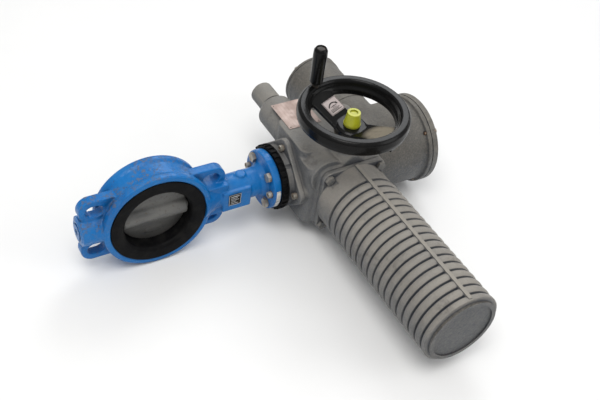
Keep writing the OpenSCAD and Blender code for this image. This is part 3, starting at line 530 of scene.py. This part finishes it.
# ---------- printed marks ----------
def strips(pieces, place):
    """Thin flat strips. Each piece is a list of left and right (u, v) points, set down by place."""
    verts = []
    faces = []
    for rail in pieces:
        base = len(verts)
        for left, right in rail:
            for u, v in (left, right):
                verts.append(place(u, v, 0.0))
                verts.append(place(u, v, PRINT_THICK))
        for i in range(len(rail) - 1):
            a = base + 4 * i
            b = a + 4
            faces += [(a + 1, a + 3, b + 3, b + 1), (a, b, b + 2, a + 2),
                      (a, a + 1, b + 1, b), (a + 2, b + 2, b + 3, a + 3)]
        e = base + 4 * (len(rail) - 1)
        faces += [(base, base + 2, base + 3, base + 1), (e, e + 1, e + 3, e + 2)]
    return mesh_from(verts, faces, smooth=False)


def bar(u0, v0, u1, v1):
    """A straight strip between two opposite corners."""
    return [((u0, v0), (u1, v0)), ((u0, v1), (u1, v1))]


def frame_of(w, h, t):
    """Four bars just inside a rectangle centred on the origin."""
    return [bar(-w, h - t, w, h), bar(-w, -h, w, -h + t),
            bar(-w, -h + t, -w + t, h - t), bar(w - t, -h + t, w, h - t)]


def arrow(radius, width, start, end, drop):
    """A curved arrow about a point below the middle, with a plain head."""
    rail = []
    for i in range(15):
        a = math.radians(start + (end - start) * i / 14)
        c, s = math.cos(a), math.sin(a)
        rail.append((((radius - width) * c, (radius - width) * s - drop),
                     ((radius + width) * c, (radius + width) * s - drop)))
    a = math.radians(end)
    b = math.radians(end + (18 if end > start else -18))
    tip = (radius * math.cos(b), radius * math.sin(b) - drop)
    head = [(((radius - 2.6 * width) * math.cos(a), (radius - 2.6 * width) * math.sin(a) - drop),
             ((radius + 2.6 * width) * math.cos(a), (radius + 2.6 * width) * math.sin(a) - drop)),
            (tip, (tip[0] + 0.00002, tip[1]))]
    return [rail, head]


def top_plane(node):
    """Centre and normal of the largest upward face of a thin CAD plate."""
    mesh = NODES[node].data
    groups = {}
    for poly in mesh.polygons:
        if poly.normal.z > 0.5:
            key = tuple(round(c, 3) for c in poly.normal)
            area, centre = groups.get(key, (0.0, Vector()))
            groups[key] = (area + poly.area, centre + poly.center * poly.area)
    key, (area, centre) = max(groups.items(), key=lambda g: g[1][0])
    return centre / area, Vector(key).normalized()


LABEL_MID, LABEL_UP = top_plane("direction_label")
OUTWARD = Vector((math.cos(GRIP_ANGLE), math.sin(GRIP_ANGLE), 0.0))
LABEL_U = OUTWARD.cross(LABEL_UP).normalized()
LABEL_V = LABEL_UP.cross(LABEL_U)


def on_label(u, v, w):
    """u runs across the spoke and v outward from the hub, on top of the label."""
    return LABEL_MID + LABEL_U * u + LABEL_V * v + LABEL_UP * (w + PRINT_LIFT)


finished(strips(frame_of(0.0145, 0.0115, 0.0006) + arrow(0.0120, 0.0009, 145, 52, 0.0070)
                + [bar(-0.0115, -0.0085, 0.0110, -0.0075), bar(-0.0115, -0.0065, 0.0070, -0.0057),
                   bar(-0.0115, -0.0047, 0.0095, -0.0040), bar(-0.0060, -0.0008, 0.0060, 0.0000),
                   bar(-0.0045, -0.0028, 0.0045, -0.0022)],
                on_label),
         "label_print", INK, BODY_OF["direction_label"])

plate_lo, plate_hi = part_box("body_nameplate")


def on_nameplate(u, v, w):
    mid = (plate_lo + plate_hi) / 2
    return (mid.x + u, plate_lo.y - w, mid.z + v)


finished(strips(frame_of(0.0095, 0.0098, 0.0007)
                + [bar(-0.0065, 0.0052, 0.0065, 0.0068), bar(-0.0065, 0.0022, 0.0040, 0.0032),
                   bar(-0.0065, -0.0008, 0.0065, 0.0002), bar(-0.0065, -0.0038, 0.0020, -0.0028),
                   bar(-0.0065, -0.0070, 0.0050, -0.0060)], on_nameplate),
         "nameplate_print", SILVER, BODY_OF["body_nameplate"])


# ---------- rounded edges of the other pieces ----------
SOFT_NODES = {
    "liner": 0.0008, "coupling_ring": 0.0004, "end_stop_cap": 0.0012,
    "control_cover": 0.0015, "plug_cover": 0.0012, "motor_housing": 0.0009, "motor_end_cap": 0.001,
    "hub_cap": 0.0008, "grip": 0.0008, "flange_bolts": 0.0005, "flange_screws": 0.0005,
    "motor_screws": 0.0006, "base_screws": 0.0005, "cover_screws": 0.0004, "plug_screws": 0.0003,
    "grip_axle": 0.0004, "gland_plugs": 0.0005, "bottom_plug": 0.0005, "housing_nameplate": 0.00015,
    "body_nameplate": 0.00015, "sight_glass": 0.0004,
}
for name, width in SOFT_NODES.items():
    soften(NODES[name], width)


# ---------- floor, light, camera ----------
floor = bpy.data.objects.new("floor", mesh_from(
    [(-FLOOR_HALF, -FLOOR_HALF, FLOOR_Z), (FLOOR_HALF, -FLOOR_HALF, FLOOR_Z),
     (FLOOR_HALF, FLOOR_HALF, FLOOR_Z), (-FLOOR_HALF, FLOOR_HALF, FLOOR_Z)], [(0, 1, 2, 3)]))
bpy.context.scene.collection.objects.link(floor)
floor.data.materials.append(floor_look("floor"))

world = bpy.data.worlds.new("studio")
world.use_nodes = True
background = world.node_tree.nodes["Background"]
sky = world.node_tree.nodes.new("ShaderNodeTexCoord")
split = world.node_tree.nodes.new("ShaderNodeSeparateXYZ")
ramp = world.node_tree.nodes.new("ShaderNodeMapRange")
world.node_tree.links.new(sky.outputs["Generated"], split.inputs["Vector"])
world.node_tree.links.new(split.outputs["Z"], ramp.inputs["Value"])
world.node_tree.links.new(ramp.outputs["Result"], background.inputs["Strength"])
ramp.inputs["From Min"].default_value = -0.05
ramp.inputs["From Max"].default_value = 0.9
ramp.inputs["To Min"].default_value = 0.28
ramp.inputs["To Max"].default_value = 0.76
background.inputs["Color"].default_value = (1.0, 1.0, 1.0, 1.0)
bpy.context.scene.world = world


def area(name, place, aim, size, power, tint=(1, 1, 1)):
    """A round soft light at a place, turned to its aim."""
    light = bpy.data.lights.new(name, "AREA")
    light.shape = "DISK"
    light.size = size
    light.energy = power
    light.color = tint
    obj = bpy.data.objects.new(name, light)
    obj.location = place
    obj.rotation_mode = "QUATERNION"
    obj.rotation_quaternion = (Vector(aim) - Vector(place)).to_track_quat("-Z", "Y")
    bpy.context.scene.collection.objects.link(obj)


area("key", (-0.5, -0.7, 2.3), TARGET, 1.5, 34, (1.0, 0.99, 0.97))
area("back", (1.6, 1.6, 1.9), TARGET, 1.4, 22, (0.96, 0.98, 1.0))
area("side", (1.6, -1.3, 1.1), TARGET, 1.2, 7)

back = Vector((math.sin(AZIMUTH) * math.cos(ELEVATION),
               -math.cos(AZIMUTH) * math.cos(ELEVATION), math.sin(ELEVATION)))
camera = bpy.data.objects.new("camera", bpy.data.cameras.new("camera"))
camera.data.lens = LENS
camera.data.sensor_width = 36.0
camera.data.clip_end = 50.0
camera.location = TARGET + back * DISTANCE
camera.rotation_mode = "QUATERNION"
camera.rotation_quaternion = (-back).to_track_quat("-Z", "Y") @ Quaternion((0, 0, 1), ROLL)
bpy.context.scene.collection.objects.link(camera)
bpy.context.scene.camera = camera
bpy.context.scene.view_settings.view_transform = "Standard"
